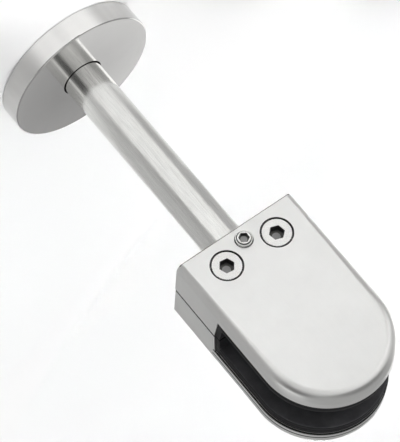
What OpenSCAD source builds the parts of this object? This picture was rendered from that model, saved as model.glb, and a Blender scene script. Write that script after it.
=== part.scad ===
// D-shaped glass panel clamp on a round stem, with a wall flange and its cover rosette.
//
// The part stands on its flange: the wall is the plane z = 0 and the stem runs up along +Z.
// The two jaws part on the plane y = 0. The front jaw, with the screw heads, is on the -Y side.
// All sizes are in millimetres.

/* [Stem] */
// Diameter of the stem
stem_d = 12.5; // [11:0.1:14]
// Length of stem that shows between the wall and the jaws
stem_len = 78; // [40:1:160]
// Diameter of the spigot that the jaws close on
spigot_d = 8.5; // [7.5:0.1:9.5]
// Length of the spigot inside the jaws
spigot_len = 15; // [12:0.5:15.5]
// Depth of the ring groove that the grub screw locks in
groove_depth = 0.8; // [0.5:0.1:1]

/* [Jaws] */
// Width of the clamp, which is also the diameter of its round end
clamp_w = 40; // [36:0.5:50]
// Length of the clamp from its flat end to the tip of its round end
clamp_len = 60; // [54:0.5:80]
// Length of the solid land at the flat end, measured where the jaws part
land_len = 17.8; // [17.5:0.1:22]
// Thickness of the front jaw in front of the glass slot, at its flat end
front_wall = 4.85; // [4.5:0.05:8]
// Thickness of the rear jaw behind the glass slot
rear_wall = 4.55; // [3.6:0.05:8]
// Gap that is left between the closed jaws
parting_gap = 0.5; // [0.1:0.05:0.6]
// Radius along the outer edge of the front face
front_edge_r = 3.3; // [2:0.1:4]
// Radius along the outer edge of the rear face
rear_edge_r = 0.5; // [0.3:0.1:2]
// How much smaller the rear jaw's outline is, all round
rear_inset = 0.1; // [0:0.1:0.6]
// Depth ground off the front face at its flat end, running out to nothing at the round end
face_grind = 0.4; // [0.1:0.1:0.8]
// Edge break on the flat end, along the front face and where the jaws part
edge_break = 0.4; // [0.2:0.1:0.8]
// Edge break along the outside of the glass slot
slot_break = 0.3; // [0.1:0.05:0.5]
// Draft of the slot's end wall, from the parting plane to the bottom of the slot
slot_draft = 0.8; // [0.2:0.1:1.2]

/* [Glass slot] */
// Clear gap between the two gaskets
glass_gap = 11.2; // [8:0.1:12]
// How far the middle of the glass slot lies in front of the plane where the jaws part
slot_shift = 0.65; // [0:0.05:1]
// Thickness of each gasket's pad
gasket_t = 3.2; // [2:0.1:4]
// Thickness of the gasket's upstand, which keeps the glass edge off the metal
upstand_t = 2; // [1.4:0.1:3]
// How far the gaskets stay inside the jaws' outline
gasket_inset = 0.3; // [0.1:0.1:1]
// Bevel along the gaskets' outer edge beside the metal
gasket_bevel = 0.4; // [0.2:0.1:0.8]
// Radius along the gaskets' outer edge beside the glass
gasket_edge_r = 0.5; // [0.3:0.1:0.9]
// Diameter of the moulded stud that holds a gasket in its jaw
stud_d = 5; // [3:0.5:8]
// Length of the moulded stud
stud_len = 2; // [1:0.1:2.4]
// Height of the stud above the land
stud_rise = 20; // [10:1:24]

/* [Clamp screws] */
// Thread diameter of the two clamp screws
screw_d = 5; // [4:0.5:5]
// Head diameter of the clamp screws
screw_head_d = 8.7; // [7:0.1:9]
// Head height of the clamp screws
screw_head_h = 5; // [3:0.1:5.5]
// Socket size of the clamp screws, across its flats
screw_socket = 4; // [3:0.5:4.5]
// Edge break round the top of the heads
head_break = 0.15; // [0.1:0.05:0.5]
// Distance between the two clamp screws
screw_spacing = 17.5; // [17:0.1:20]
// Distance of the clamp screws from the flat end
screw_rise = 7.9; // [7:0.1:9]
// Gap all round the heads in their counterbores
head_gap = 0.35; // [0.2:0.05:0.6]
// How far the heads lie below the front face
head_recess = 0.1; // [0:0.05:0.6]
// Length of clamp screw that is screwed into the rear jaw
screw_engage = 6.8; // [4:0.1:8]

/* [Grub screw] */
// Thread diameter of the grub screw
grub_d = 5; // [4:0.5:5]
// Socket size of the grub screw, across its flats
grub_socket = 2.5; // [2:0.5:2.5]
// Distance of the grub screw from the flat end
grub_rise = 4.2; // [4:0.1:5]
// How far the grub screw stands out of the front face
grub_proud = 1.1; // [0:0.1:1.6]
// Edge break round the top of the grub screw
grub_break = 0.8; // [0.3:0.1:0.9]
// Edge break round the grub screw's hole
grub_hole_break = 0.25; // [0.1:0.05:0.5]

/* [Wall flange] */
// Thickness of the base plate
plate_t = 4; // [3.6:0.1:4.2]
// Depth of the stem's seat in the base plate
stem_seat = 0.8; // [0.3:0.1:1]
// Number of fixing holes
fixing_count = 3; // [2:1:4]
// Metal that is left between the fixing heads and the plate's edge
fixing_edge = 2; // [1:0.1:3]
// Diameter of the fixing holes
fixing_d = 4.5; // [3.5:0.1:5]
// Head diameter that the fixing holes are countersunk for
fixing_head_d = 8; // [7:0.1:9]
// Thread diameter of the screw that holds the stem on the plate
stem_screw_d = 6; // [5:0.5:6]
// Head diameter of the stem screw
stem_screw_head_d = 11.5; // [10:0.1:12]
// Socket size of the stem screw, across its flats
stem_screw_socket = 4; // [3:0.5:5]
// Length of stem screw that is screwed into the stem
stem_screw_engage = 12; // [8:0.5:16]

/* [Cover rosette] */
// Diameter of the cover rosette
cover_d = 47; // [46:0.5:60]
// Height of the cover rosette
cover_h = 7; // [6.8:0.1:12]
// Thickness of the rosette's rim
cover_rim = 1.5; // [1:0.1:1.6]
// Thickness of the rosette's face
cover_face = 1.4; // [1:0.1:1.6]
// Radius along the front edge of the rosette
cover_edge_r = 0.4; // [0.2:0.1:0.9]
// Gap between the base plate and the rosette's rim
cover_play = 2; // [1:0.1:3]
// Gap between the stem and the rosette, where the seal ring shows
cover_gap = 0.4; // [0.2:0.05:0.6]
// Section diameter of the seal ring in the rosette's hub
seal_d = 1.4; // [1.2:0.1:1.6]

/* [Hidden] */
$fn = 96;

STEEL = [0.77, 0.77, 0.75];
SCREW_STEEL = [0.84, 0.84, 0.82];
RUBBER = [0.09, 0.09, 0.10];

// Clearances
running_gap = 0.05;   // radial clearance of what turns or slides in a bore, threads included
screw_gap = 0.25;     // radial clearance of the screw shanks in the front jaw
shoulder_gap = 0.1;   // between the stem's shoulder and the jaws
end_gap = 0.3;        // between the end of a spigot, stud or screw and the bottom of its hole
tap_run_out = 2;      // length of tapped hole past the end of its screw
past = 1;             // how far a cutting shape reaches past the face that it cuts

// The base plate fits inside the rosette, and its fixing holes lie near its edge
plate_d = cover_d - 2 * (cover_rim + cover_play);
fixing_pcd = plate_d - fixing_head_d - 2 * fixing_edge;

// Heights along the stem
z_stem = plate_t - stem_seat;
z_flat = stem_len + shoulder_gap;
z_tip = z_flat + clamp_len;
z_round = z_tip - clamp_w / 2;
z_slot = z_flat + land_len;
z_screw = z_flat + screw_rise;
z_grub = z_flat + grub_rise;
z_stud = z_slot + stud_rise;

// Depths on either side of the parting plane
slot_half = glass_gap / 2 + gasket_t;
front_slot = slot_half + slot_shift;
rear_slot = slot_half - slot_shift;
front_t = front_slot + front_wall;
rear_t = rear_slot + rear_wall;
join_y = parting_gap / 2;
grind_angle = atan(face_grind / (z_round - z_flat));

// The clamp screws sit on the floor of their counterbores
head_top_y = front_t + face_at(screw_rise) - head_recess;
head_seat_y = head_top_y - screw_head_h;

// The grub screw ends in the spigot's groove
groove_r = spigot_d / 2 - groove_depth;
grub_tip_y = groove_r + 0.15;
grub_end_y = front_t + face_at(grub_rise) + grub_proud;

// The rosette's hub reaches down almost to the base plate and holds the seal ring
seal_r = stem_d / 2 + running_gap + seal_d / 2;
hub_r = seal_r + seal_d / 2 + cover_rim;
seal_z = (cover_h + plate_t + end_gap) / 2;

// Extra depth of the ground front face at a distance from the flat end
function face_at(rise) = rise * tan(grind_angle);

// Height of the slot's end wall at a depth from the parting plane
function slot_end_z(depth) = z_slot + slot_draft * depth / slot_half;

// Radius of a hexagon's corners from its size across the flats
function hex_r(size) = size / 2 / cos(30);

// Turns a shape that is drawn on XY so that its height points out of the front face
module face_front(x, depth, z) {
    translate([x, -depth, z]) rotate([90, 0, 0]) children();
}

// Extrudes a profile that is drawn in (y, z) along X, across the whole width given
module across(width) {
    rotate([90, 0, 90]) translate([0, 0, -width / 2]) linear_extrude(width) children();
}

// Sweeps half a section, drawn in (distance from the middle, y), along the D outline:
// straight up both sides from z_from, then half round the tip
module sweep_d(half_w, z_from, z_end) {
    z_centre = z_end - half_w;
    translate([0, 0, z_from]) linear_extrude(z_centre - z_from) {
        children();
        mirror([1, 0]) children();
    }
    translate([0, 0, z_centre]) rotate([-90, 0, 0]) rotate([0, 0, 180])
        rotate_extrude(angle = 180) children();
}

// Half section of a jaw, with a rounded edge along its face
module jaw_section(half_w, depth, edge_r) {
    translate([0, edge_r - depth]) square([half_w, depth - edge_r - join_y]);
    translate([0, -depth]) square([half_w - edge_r, edge_r]);
    translate([half_w - edge_r, edge_r - depth]) circle(edge_r);
}

// A jaw without its screw holes: the D body, the glass slot, the spigot's half bore and the
// hole for the gasket's stud. Both jaws are drawn as the front one.
module jaw_blank(half_w, z_from, depth, slot_y, edge_r) {
    difference() {
        sweep_d(half_w, z_from, z_round + half_w) jaw_section(half_w, depth, edge_r);
        across(2 * clamp_w) polygon([
            [past, z_slot], [0, z_slot], [-slot_y, slot_end_z(slot_y)],
            [-slot_y, z_tip + past], [past, z_tip + past]
        ]);
        // Edge break along the outside of the slot's floor
        sweep_d(half_w, slot_end_z(slot_y), z_round + half_w) polygon([
            [half_w - slot_break, -slot_y], [half_w - slot_break, past - slot_y],
            [half_w + past, past - slot_y], [half_w + past, -slot_y - slot_break - past]
        ]);
        // Edge break across the flat end, where the jaws part
        across(2 * clamp_w) polygon([
            [-join_y - edge_break, z_from - past], [past, z_from - past],
            [past, z_from + edge_break + join_y + past], [-join_y - edge_break, z_from]
        ]);
        translate([0, 0, z_flat - past])
            cylinder(h = past + spigot_len + end_gap, r = spigot_d / 2 + running_gap);
        face_front(0, slot_y - past, z_stud)
            cylinder(h = past + stud_len + end_gap, d = stud_d + 2 * running_gap);
    }
}

// Cutting shape that bevels the edge between a jaw's face and its flat end
module end_edge(depth, z_end, bevel) {
    across(2 * clamp_w) polygon([
        [bevel - depth, z_end - past], [bevel - depth, z_end], [-depth, z_end + bevel],
        [-depth - past, z_end + bevel + past], [-depth - past, z_end - past]
    ]);
}

// A gasket, drawn as the front one: a D pad, an upstand along the slot's end and a stud
module gasket(half_w, slot_y) {
    top_y = join_y + end_gap / 2;
    sweep_d(half_w, slot_end_z(slot_y), z_round + half_w) gasket_section(half_w, slot_y);
    across(2 * half_w) polygon([
        [-slot_y, slot_end_z(slot_y)], [-top_y, slot_end_z(top_y)],
        [-top_y, slot_end_z(top_y) + upstand_t], [-slot_y, slot_end_z(slot_y) + upstand_t]
    ]);
    face_front(0, slot_y - gasket_t / 2, z_stud)
        cylinder(h = gasket_t / 2 + stud_len, d = stud_d);
}

// Half section of a gasket's pad in a slot of the given depth, rounded beside the glass and bevelled beside the metal
module gasket_section(half_w, slot_y) {
    polygon([
        [0, -slot_y], [half_w - gasket_bevel, -slot_y],
        [half_w, gasket_bevel - slot_y], [half_w, gasket_t - gasket_edge_r - slot_y],
        [0, gasket_t - gasket_edge_r - slot_y]
    ]);
    translate([0, gasket_bevel - slot_y])
        square([half_w - gasket_edge_r, gasket_t - gasket_bevel]);
    translate([half_w - gasket_edge_r, gasket_t - gasket_edge_r - slot_y])
        circle(gasket_edge_r);
}

// Socket head cap screw with its seat at z = 0 and its head above
module cap_screw(shank_len) {
    difference() {
        union() {
            cylinder(h = screw_head_h - head_break, d = screw_head_d);
            translate([0, 0, screw_head_h - head_break])
                cylinder(h = head_break, d1 = screw_head_d, d2 = screw_head_d - 2 * head_break);
            translate([0, 0, -shank_len])
                cylinder(h = shank_len, r = screw_d / 2 - running_gap);
        }
        translate([0, 0, screw_head_h / 2])
            cylinder(h = screw_head_h, r = hex_r(screw_socket), $fn = 6);
    }
}

// A clamp screw on the floor of its counterbore, with its socket turned to an angle
module clamp_screw(x, turn) {
    face_front(x, head_seat_y, z_screw) rotate([0, 0, turn])
        cap_screw(head_seat_y + join_y + screw_engage);
}

module base_plate() color(STEEL) difference() {
    cylinder(h = plate_t, d = plate_d);
    translate([0, 0, z_stem]) cylinder(h = plate_t, r = stem_d / 2 + running_gap);
    translate([0, 0, -past]) cylinder(h = plate_t + 2 * past, d = stem_screw_d + 2 * screw_gap);
    countersink(stem_screw_head_d + 2 * screw_gap, stem_screw_d + 2 * screw_gap);
    for (i = [0 : fixing_count - 1]) rotate([0, 0, 90 + i * 360 / fixing_count])
        translate([fixing_pcd / 2, 0, 0]) {
            translate([0, 0, -past]) cylinder(h = plate_t + 2 * past, d = fixing_d);
            translate([0, 0, plate_t]) mirror([0, 0, 1]) countersink(fixing_head_d, fixing_d);
        }
}

// A 90 degree countersink that opens at z = 0 and narrows upwards
module countersink(d_wide, d_narrow) {
    depth = (d_wide - d_narrow) / 2;
    translate([0, 0, -past])
        cylinder(h = depth + past, d1 = d_wide + 2 * past, d2 = d_narrow);
}

module stem_screw() color(SCREW_STEEL) {
    head_h = (stem_screw_head_d - stem_screw_d) / 2;
    sunk = 0.2;
    difference() {
        translate([0, 0, sunk]) {
            cylinder(h = head_h, d1 = stem_screw_head_d, d2 = stem_screw_d - 2 * running_gap);
            cylinder(h = z_stem + stem_screw_engage - sunk, r = stem_screw_d / 2 - running_gap);
        }
        translate([0, 0, -past]) cylinder(h = head_h + past, r = hex_r(stem_screw_socket), $fn = 6);
    }
}

module stem() color(STEEL) {
    chamfer = 0.5;
    difference() {
        rotate_extrude() polygon([
            [0, z_stem], [stem_d / 2 - chamfer, z_stem], [stem_d / 2, z_stem + chamfer],
            [stem_d / 2, stem_len - chamfer], [stem_d / 2 - chamfer, stem_len],
            [spigot_d / 2, stem_len],
            [spigot_d / 2, z_grub - groove_depth - 0.5], [groove_r, z_grub - 0.5],
            [groove_r, z_grub + 0.5], [spigot_d / 2, z_grub + groove_depth + 0.5],
            [spigot_d / 2, z_flat + spigot_len - chamfer],
            [spigot_d / 2 - chamfer, z_flat + spigot_len], [0, z_flat + spigot_len]
        ]);
        translate([0, 0, z_stem - past])
            cylinder(h = past + stem_screw_engage + tap_run_out, d = stem_screw_d);
    }
}

module cover_rosette() color(STEEL) difference() {
    rotate_extrude() union() {
        square([cover_d / 2, cover_h - cover_edge_r]);
        square([cover_d / 2 - cover_edge_r, cover_h]);
        translate([cover_d / 2 - cover_edge_r, cover_h - cover_edge_r]) circle(cover_edge_r);
    }
    // The hollow behind the face, with the hub left standing
    translate([0, 0, -past]) cylinder(h = past + plate_t + end_gap, d = cover_d - 2 * cover_rim);
    translate([0, 0, plate_t]) difference() {
        cylinder(h = cover_h - cover_face - plate_t, d = cover_d - 2 * cover_rim);
        translate([0, 0, -past]) cylinder(h = cover_h, r = hub_r);
    }
    cylinder(h = cover_h + past, r = stem_d / 2 + cover_gap);
    translate([0, 0, seal_z])
        cylinder(h = seal_d + 2 * running_gap, r = seal_r + seal_d / 2 + running_gap, center = true);
}

module seal_ring() color(RUBBER) translate([0, 0, seal_z]) rotate_extrude()
    translate([seal_r, 0]) circle(seal_d / 2, $fn = 32);

module front_jaw() color(STEEL) difference() {
    jaw_blank(clamp_w / 2, z_flat, front_t + face_grind, front_slot, front_edge_r);
    // The face is ground at a slight slope, so the rounded edge narrows towards the flat end
    translate([-clamp_w, -front_t, z_flat]) rotate([grind_angle, 0, 0])
        translate([0, -clamp_w, -clamp_w]) cube([2 * clamp_w, clamp_w, 3 * clamp_w]);
    end_edge(front_t, z_flat, edge_break);
    for (side = [-1, 1]) {
        face_front(side * screw_spacing / 2, head_seat_y, z_screw)
            cylinder(h = front_t, r = screw_head_d / 2 + head_gap);
        face_front(side * screw_spacing / 2, -past, z_screw)
            cylinder(h = front_t, r = screw_d / 2 + screw_gap);
    }
    face_front(0, 0, z_grub) cylinder(h = front_t + past, d = grub_d);
    face_front(0, front_t + face_at(grub_rise) - grub_hole_break, z_grub)
        cylinder(h = 2 * grub_hole_break, d1 = grub_d, d2 = grub_d + 4 * grub_hole_break);
}

module rear_jaw() color(STEEL) mirror([0, 1, 0]) difference() {
    jaw_blank(clamp_w / 2 - rear_inset, z_flat + rear_inset, rear_t, rear_slot, rear_edge_r);
    end_edge(rear_t, z_flat + rear_inset, rear_edge_r);
    for (side = [-1, 1]) face_front(side * screw_spacing / 2, -past, z_screw)
        cylinder(h = past + join_y + screw_engage + tap_run_out, d = screw_d);
}

module front_gasket() color(RUBBER) gasket(clamp_w / 2 - gasket_inset, front_slot);

module rear_gasket() color(RUBBER) mirror([0, 1, 0])
    gasket(clamp_w / 2 - rear_inset - gasket_inset, rear_slot);

module clamp_screw_left() color(SCREW_STEEL) clamp_screw(-screw_spacing / 2, 41);

module clamp_screw_right() color(SCREW_STEEL) clamp_screw(screw_spacing / 2, 52);

module grub_screw() color(SCREW_STEEL) {
    r = grub_d / 2 - running_gap;
    len = grub_end_y - grub_tip_y;
    face_front(0, grub_tip_y, z_grub) rotate([0, 0, 28]) difference() {
        rotate_extrude() polygon([
            [0, 0], [0.3, 0], [r, r - 0.3], [r, len - grub_break], [r - grub_break, len],
            [0, len]
        ]);
        translate([0, 0, len - grub_d / 2])
            cylinder(h = grub_d, r = hex_r(grub_socket), $fn = 6);
    }
}

base_plate();
stem_screw();
stem();
cover_rosette();
seal_ring();
rear_jaw();
rear_gasket();
front_jaw();
front_gasket();
clamp_screw_left();
clamp_screw_right();
grub_screw();
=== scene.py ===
"""Looks of a glass panel clamp: steel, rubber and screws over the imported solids.

The clamp stands on its wall flange. The stem runs up along +Z, the jaws close on the
plane y = 0 and the jaw with the screw heads is on the -Y side. All lengths are in metres.
"""

from __future__ import annotations

import logging
import math
from dataclasses import dataclass
from enum import Enum

import bmesh
import bpy
from mathutils import Matrix, Vector


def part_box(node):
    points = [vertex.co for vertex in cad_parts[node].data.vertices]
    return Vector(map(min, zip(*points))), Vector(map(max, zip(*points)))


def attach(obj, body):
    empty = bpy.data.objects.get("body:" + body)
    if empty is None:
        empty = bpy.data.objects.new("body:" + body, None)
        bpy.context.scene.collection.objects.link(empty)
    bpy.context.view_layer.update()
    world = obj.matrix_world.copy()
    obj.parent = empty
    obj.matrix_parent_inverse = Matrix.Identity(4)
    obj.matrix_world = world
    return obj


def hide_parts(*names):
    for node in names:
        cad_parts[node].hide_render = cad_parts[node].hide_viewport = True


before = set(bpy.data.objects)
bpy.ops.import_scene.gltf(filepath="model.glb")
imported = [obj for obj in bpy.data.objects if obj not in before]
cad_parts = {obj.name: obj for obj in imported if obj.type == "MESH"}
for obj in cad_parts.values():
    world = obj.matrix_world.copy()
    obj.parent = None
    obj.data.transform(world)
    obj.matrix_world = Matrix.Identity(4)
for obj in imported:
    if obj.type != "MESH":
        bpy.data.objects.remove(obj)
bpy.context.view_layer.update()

LOG = logging.getLogger("clamp")
MM = 0.001
THREAD_RIDGE = 0.577  # size of a thread's ridge, from its middle to its crest, for a pitch of 1
THREAD_SECTION_TURN = math.pi  # puts the crest on the outside
THREAD_STEPS = 40  # points in one turn
THREAD_DEPTH = 0.6  # from the crest down to the screw's core, for a pitch of 1
TIP_BREAK = 0.4  # chamfer at a screw's tip, for a pitch of 1
PAD = 3.2 * MM  # thickness of a gasket's pad
FRONT_WALL = -9.45 * MM  # Y of the slot's wall in the front jaw
REAR_WALL = 8.15 * MM  # Y of the slot's wall in the rear jaw
NOISE_RANGE = (0.3, 0.7)  # the values between which a noise pattern mostly stays
NOISE_ROUGHNESS = 0.62  # how strong each finer octave of a noise pattern is
MIX_VALUE_INPUTS = (0, 2, 3)  # a Mix node's share and its two values
MIX_COLOUR_INPUTS = (6, 7)
MIX_COLOUR_OUTPUT = 2
ENDLESS = 1.0  # a limit far outside the clamp, in metres
ACROSS_Y = (0.0, 1.0, 0.0)
ACROSS_Z = (0.0, 0.0, 1.0)
ROUND_AXIS = (1.0, 1.0, 0.0)


# ---------------------------------------------------------------- finishes


class Grain(Enum):
    """Which way the fine lines of a brushed surface run."""

    ALONG_Z = (1.0, 1.0, 0.006)
    SHORT_ALONG_Z = (1.0, 1.0, 0.05)
    ROUND_Z = (0.35, 0.35, 1.0)
    # Stretch of the painted reflection bands across the rosette's rim.
    ACROSS_RIM = (0.024, 0.024, 0.0008)
    NONE = (1.0, 1.0, 1.0)


@dataclass(frozen=True)
class Hollow:
    """A region that a finish tells apart: a bore, a gap, a fine line or a thin layer."""

    centre: tuple[float, float, float]
    reach: float  # how far it goes from its centre, in the directions below
    across: tuple[float, float, float] = (1.0, 0.0, 1.0)
    half: tuple[float, float, float] | None = None  # half of its size along X, Y and Z


class NodeTree:
    """A node tree with short ways to add and join nodes."""

    def __init__(self, tree: bpy.types.NodeTree) -> None:
        """Takes the tree that the nodes go into."""
        self.tree = tree

    def add(self, kind: str, **settings: object) -> bpy.types.Node:
        """Adds a node and sets its attributes.

        Args:
            kind: The node's type name.
            settings: Attributes to set on the node.

        Returns:
            The new node.
        """
        node = self.tree.nodes.new(kind)
        for key, value in settings.items():
            setattr(node, key, value)
        return node

    def join(self, source: bpy.types.NodeSocket, target: bpy.types.NodeSocket) -> None:
        """Joins one socket to another."""
        self.tree.links.new(source, target)

    def math(
        self, operation: str, first: bpy.types.NodeSocket, second: bpy.types.NodeSocket | float
    ) -> bpy.types.NodeSocket:
        """Adds a sum on one or two values.

        Args:
            operation: The Math node's operation.
            first: The first value.
            second: The second value, a socket or a number.

        Returns:
            The result socket.
        """
        node = self.add("ShaderNodeMath", operation=operation)
        self.join(first, node.inputs[0])
        if isinstance(second, bpy.types.NodeSocket):
            self.join(second, node.inputs[1])
        else:
            node.inputs[1].default_value = second
        return node.outputs[0]

    def vector(
        self,
        operation: str,
        source: bpy.types.NodeSocket,
        second: tuple[float, float, float] | float | None = None,
    ) -> bpy.types.Node:
        """Adds a sum on a vector.

        Args:
            operation: The Vector Math node's operation.
            source: The vector.
            second: The second vector, or the factor of a SCALE.

        Returns:
            The node.
        """
        node = self.add("ShaderNodeVectorMath", operation=operation)
        self.join(source, node.inputs[0])
        if second is not None:
            node.inputs["Scale" if operation == "SCALE" else 1].default_value = second
        return node

    def span(
        self,
        source: bpy.types.NodeSocket,
        given: tuple[float, float],
        wanted: tuple[float, float],
        smooth: bool = False,
    ) -> bpy.types.NodeSocket:
        """Maps a value from one range to another, and holds it at the ends.

        Args:
            source: The value to map.
            given: The range that it comes in.
            wanted: The range that it is mapped to.
            smooth: Whether it eases in and out.

        Returns:
            The mapped value socket.
        """
        easing = "SMOOTHSTEP" if smooth else "LINEAR"
        node = self.add("ShaderNodeMapRange", interpolation_type=easing)
        for key, value in zip(("From Min", "From Max", "To Min", "To Max"), (*given, *wanted)):
            node.inputs[key].default_value = value
        self.join(source, node.inputs["Value"])
        return node.outputs["Result"]

    def between(
        self,
        share: bpy.types.NodeSocket,
        first: bpy.types.NodeSocket,
        second: bpy.types.NodeSocket,
    ) -> bpy.types.NodeSocket:
        """Adds a value that runs between two others.

        Args:
            share: 0 for the first value, 1 for the second.
            first: The first value.
            second: The second value.

        Returns:
            The value's socket.
        """
        mix = self.add("ShaderNodeMix", data_type="FLOAT")
        for index, source in zip(MIX_VALUE_INPUTS, (share, first, second)):
            self.join(source, mix.inputs[index])
        return mix.outputs[0]

    def bearing(self, source: bpy.types.NodeSocket) -> bpy.types.NodeSocket:
        """Adds a vector's bearing round Z, in radians from -Y towards -X.

        Args:
            source: The vector.

        Returns:
            The bearing's socket.
        """
        split = self.add("ShaderNodeSeparateXYZ")
        self.join(self.vector("SCALE", source, -1.0).outputs["Vector"], split.inputs[0])
        return self.math("ARCTAN2", split.outputs["X"], split.outputs["Y"])


class NodeSheet(NodeTree):
    """The node tree of a material, with the patterns that the finishes are made of."""

    def __init__(self, name: str) -> None:
        """Starts an empty tree with an output and a Principled shader."""
        self.material = bpy.data.materials.new(name)
        self.material.use_nodes = True
        super().__init__(self.material.node_tree)
        self.tree.nodes.clear()
        self.shader = self.add("ShaderNodeBsdfPrincipled")
        output = self.add("ShaderNodeOutputMaterial")
        self.join(self.shader.outputs[0], output.inputs["Surface"])
        self.place = self.add("ShaderNodeTexCoord").outputs["Object"]

    def noise(
        self,
        stretch: tuple[float, float, float],
        scale: float,
        detail: float,
        shift: float = 0.0,
    ) -> bpy.types.NodeSocket:
        """Adds a noise pattern that is fixed to the piece.

        Args:
            stretch: Scale along X, Y and Z; a small value draws the pattern out.
            scale: Spots per metre.
            detail: Octaves of finer noise.
            shift: How far the pattern is moved along X, in its own spots.

        Returns:
            The noise's value socket.
        """
        mapping = self.add("ShaderNodeMapping")
        mapping.inputs["Scale"].default_value = stretch
        mapping.inputs["Location"].default_value = (shift / scale, 0.0, 0.0)
        noise = self.add("ShaderNodeTexNoise")
        noise.inputs["Scale"].default_value = scale
        noise.inputs["Detail"].default_value = detail
        noise.inputs["Roughness"].default_value = NOISE_ROUGHNESS
        self.join(self.place, mapping.inputs["Vector"])
        self.join(mapping.outputs["Vector"], noise.inputs["Vector"])
        return noise.outputs["Fac"]

    def spread(
        self, source: bpy.types.NodeSocket, low: float, high: float
    ) -> bpy.types.NodeSocket:
        """Maps a noise value from its usual range to another.

        Args:
            source: The value to map.
            low: Result where the noise is at its lowest.
            high: Result where the noise is at its highest.

        Returns:
            The mapped value socket.
        """
        return self.span(source, NOISE_RANGE, (low, high))

    def blend(
        self,
        amount: bpy.types.NodeSocket,
        low: tuple[float, float, float] | bpy.types.NodeSocket,
        high: tuple[float, float, float] | bpy.types.NodeSocket,
    ) -> bpy.types.NodeSocket:
        """Adds a colour that runs between two others.

        Args:
            amount: 0 for the first colour, 1 for the second.
            low: The first colour, a plain one or a socket.
            high: The second colour.

        Returns:
            The colour socket.
        """
        mix = self.add("ShaderNodeMix", data_type="RGBA")
        self.join(amount, mix.inputs[0])
        for index, colour in zip(MIX_COLOUR_INPUTS, (low, high)):
            if isinstance(colour, bpy.types.NodeSocket):
                self.join(colour, mix.inputs[index])
            else:
                mix.inputs[index].default_value = (*colour, 1.0)
        return mix.outputs[MIX_COLOUR_OUTPUT]

    def within(self, hollow: Hollow) -> bpy.types.NodeSocket:
        """Adds a mask that is 1 inside a region and 0 outside.

        Args:
            hollow: The region.

        Returns:
            The mask socket.
        """
        flat = self.vector("MULTIPLY", self.place, hollow.across).outputs["Vector"]
        middle = tuple(c * a for c, a in zip(hollow.centre, hollow.across))
        away = self.vector("DISTANCE", flat, middle).outputs["Value"]
        mask = self.math("LESS_THAN", away, hollow.reach)
        if hollow.half is None:
            return mask
        offset = self.vector("SUBTRACT", self.place, hollow.centre).outputs["Vector"]
        split = self.add("ShaderNodeSeparateXYZ")
        self.join(self.vector("ABSOLUTE", offset).outputs["Vector"], split.inputs[0])
        for along, limit in zip(split.outputs, hollow.half):
            mask = self.math("MULTIPLY", mask, self.math("LESS_THAN", along, limit))
        return mask

    def within_any(self, hollows: tuple[Hollow, ...]) -> bpy.types.NodeSocket:
        """Adds a mask that is 1 inside any of some regions.

        Args:
            hollows: The regions, at least one.

        Returns:
            The mask socket.
        """
        mask = self.within(hollows[0])
        for hollow in hollows[1:]:
            mask = self.math("MAXIMUM", mask, self.within(hollow))
        return mask

    def relief(self, height: bpy.types.NodeSocket, depth: float) -> None:
        """Adds a fine relief to the shader.

        Args:
            height: The relief's pattern.
            depth: Its depth in metres.
        """
        bump = self.add("ShaderNodeBump")
        bump.inputs["Strength"].default_value = 1.0
        bump.inputs["Distance"].default_value = depth
        self.join(height, bump.inputs["Height"])
        self.join(bump.outputs["Normal"], self.shader.inputs["Normal"])


@dataclass(frozen=True)
class SatinSteel:
    """Stainless steel with a fine ground finish."""

    name: str
    tint: tuple[float, float, float]
    roughness: float
    grain: Grain
    grain_depth: float = 0.0000006
    streaks: float = 0.03
    lines: float = 0.02
    line_scale: float = 5200.0
    clouds: float = 0.02
    cloud_scale: float = 70.0
    # Regions painted near-black: painted shade in bores and gaps, and painted dark reflections
    # along edges.
    hollows: tuple[Hollow, ...] = ()
    painted_shade_tint: tuple[float, float, float] = (0.012, 0.012, 0.012)

    def material(self) -> bpy.types.Material:
        """Builds the finish's material.

        Returns:
            The material.
        """
        sheet = NodeSheet(self.name)
        shader = sheet.shader
        shader.inputs["Metallic"].default_value = 1.0
        lines = sheet.noise(self.grain.value, self.line_scale, 3.0)
        shade = self.shade(sheet, lines)
        scaled = sheet.add("ShaderNodeVectorMath", operation="SCALE")
        scaled.inputs[0].default_value = self.tint
        sheet.join(shade, scaled.inputs["Scale"])
        colour = scaled.outputs["Vector"]
        # Paints the regions near-black: painted shade and painted dark reflections.
        if self.hollows:
            colour = sheet.blend(sheet.within_any(self.hollows), colour, self.painted_shade_tint)
        sheet.join(colour, shader.inputs["Base Color"])
        rough = sheet.spread(lines, self.roughness - self.streaks, self.roughness + self.streaks)
        sheet.join(rough, shader.inputs["Roughness"])
        sheet.relief(lines, self.grain_depth)
        return sheet.material

    def shade(self, sheet: NodeSheet, lines: bpy.types.NodeSocket) -> bpy.types.NodeSocket:
        """Adds the steel's light and dark lines and clouds.

        Args:
            sheet: The material's node tree.
            lines: The pattern of the grain.

        Returns:
            The factor on the tint.
        """
        clouds = sheet.noise(Grain.NONE.value, self.cloud_scale, 3.0)
        return sheet.math(
            "MULTIPLY",
            sheet.spread(lines, 1.0 - self.lines, 1.0 + self.lines),
            sheet.spread(clouds, 1.0 - self.clouds, 1.0 + self.clouds),
        )


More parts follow.
